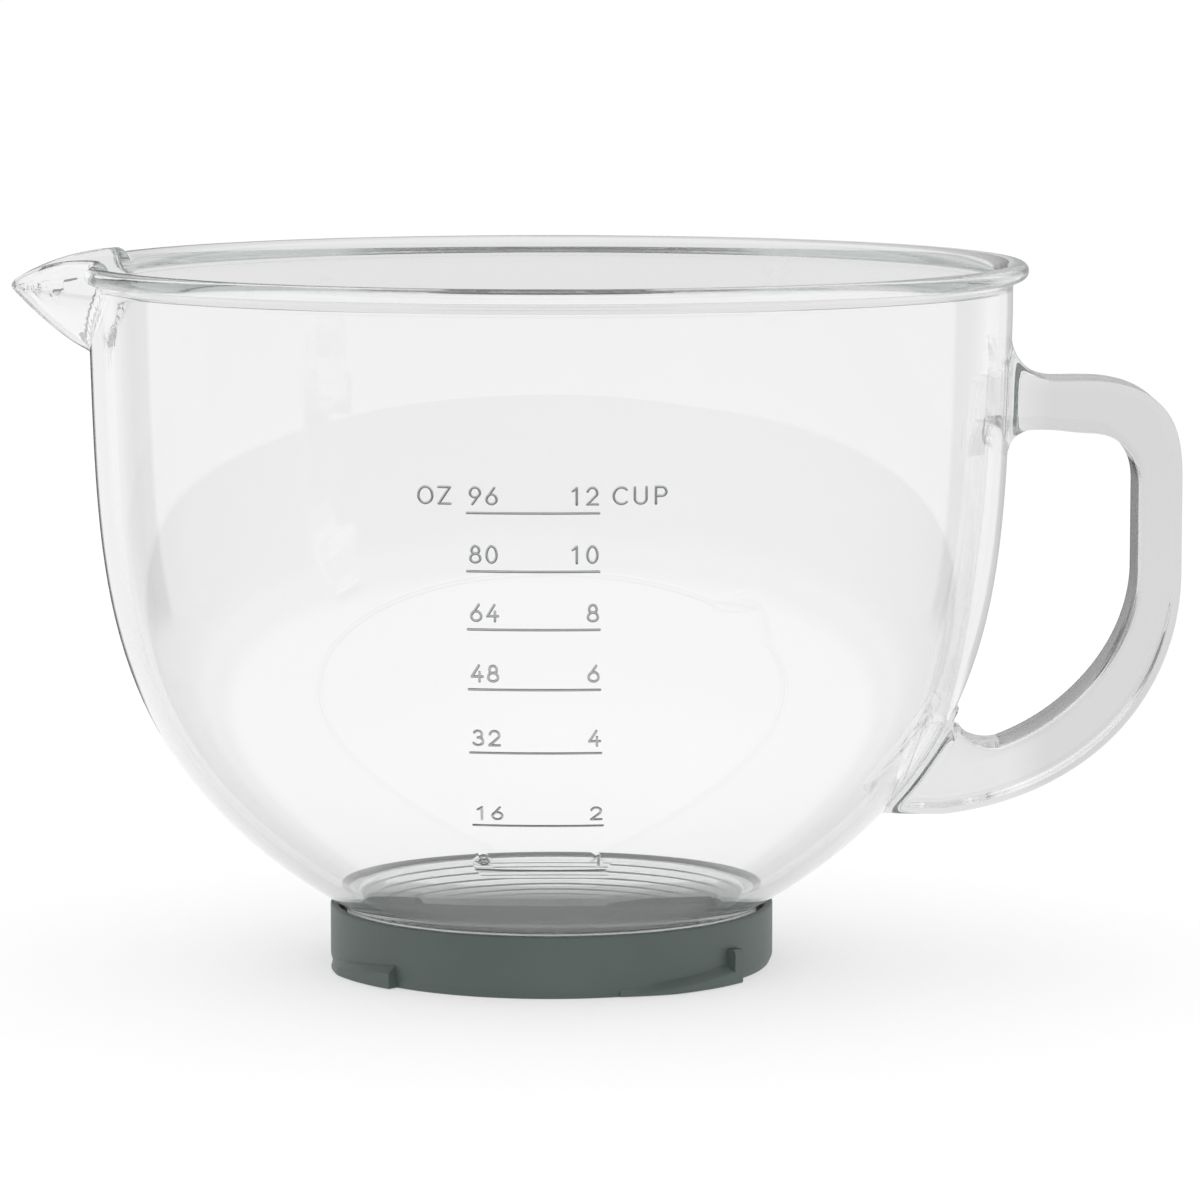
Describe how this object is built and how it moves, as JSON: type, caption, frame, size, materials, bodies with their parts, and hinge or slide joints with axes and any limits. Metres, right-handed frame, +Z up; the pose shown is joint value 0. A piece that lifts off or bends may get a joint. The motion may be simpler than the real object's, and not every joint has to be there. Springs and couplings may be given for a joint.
{
  "type": "mixing bowl",
  "caption": "Clear glass stand-mixer bowl with a pouring spout, a strap handle and a twist-lock plastic base bonded round its foot.",
  "frame": {"origin": "centre of the base's underside, on the bowl's axis, at the height it rests on", "axes": "+Z up along the bowl's axis, +X towards the handle, -X towards the spout"},
  "size_m": [0.2838, 0.2316, 0.1736],
  "materials": {
    "clear_glass": "clear pressed glass, fire-polished",
    "sage_plastic": "satin moulded plastic, grey-green",
    "grey_silicone": "matt silicone"
  },
  "bodies": {
    "root": {"glass_bowl": "clear_glass", "glass_handle": "clear_glass", "bayonet_base": "sage_plastic", "foot_cushion": "grey_silicone", "bond_bead": "grey_silicone"}
  },
  "joints": []
}
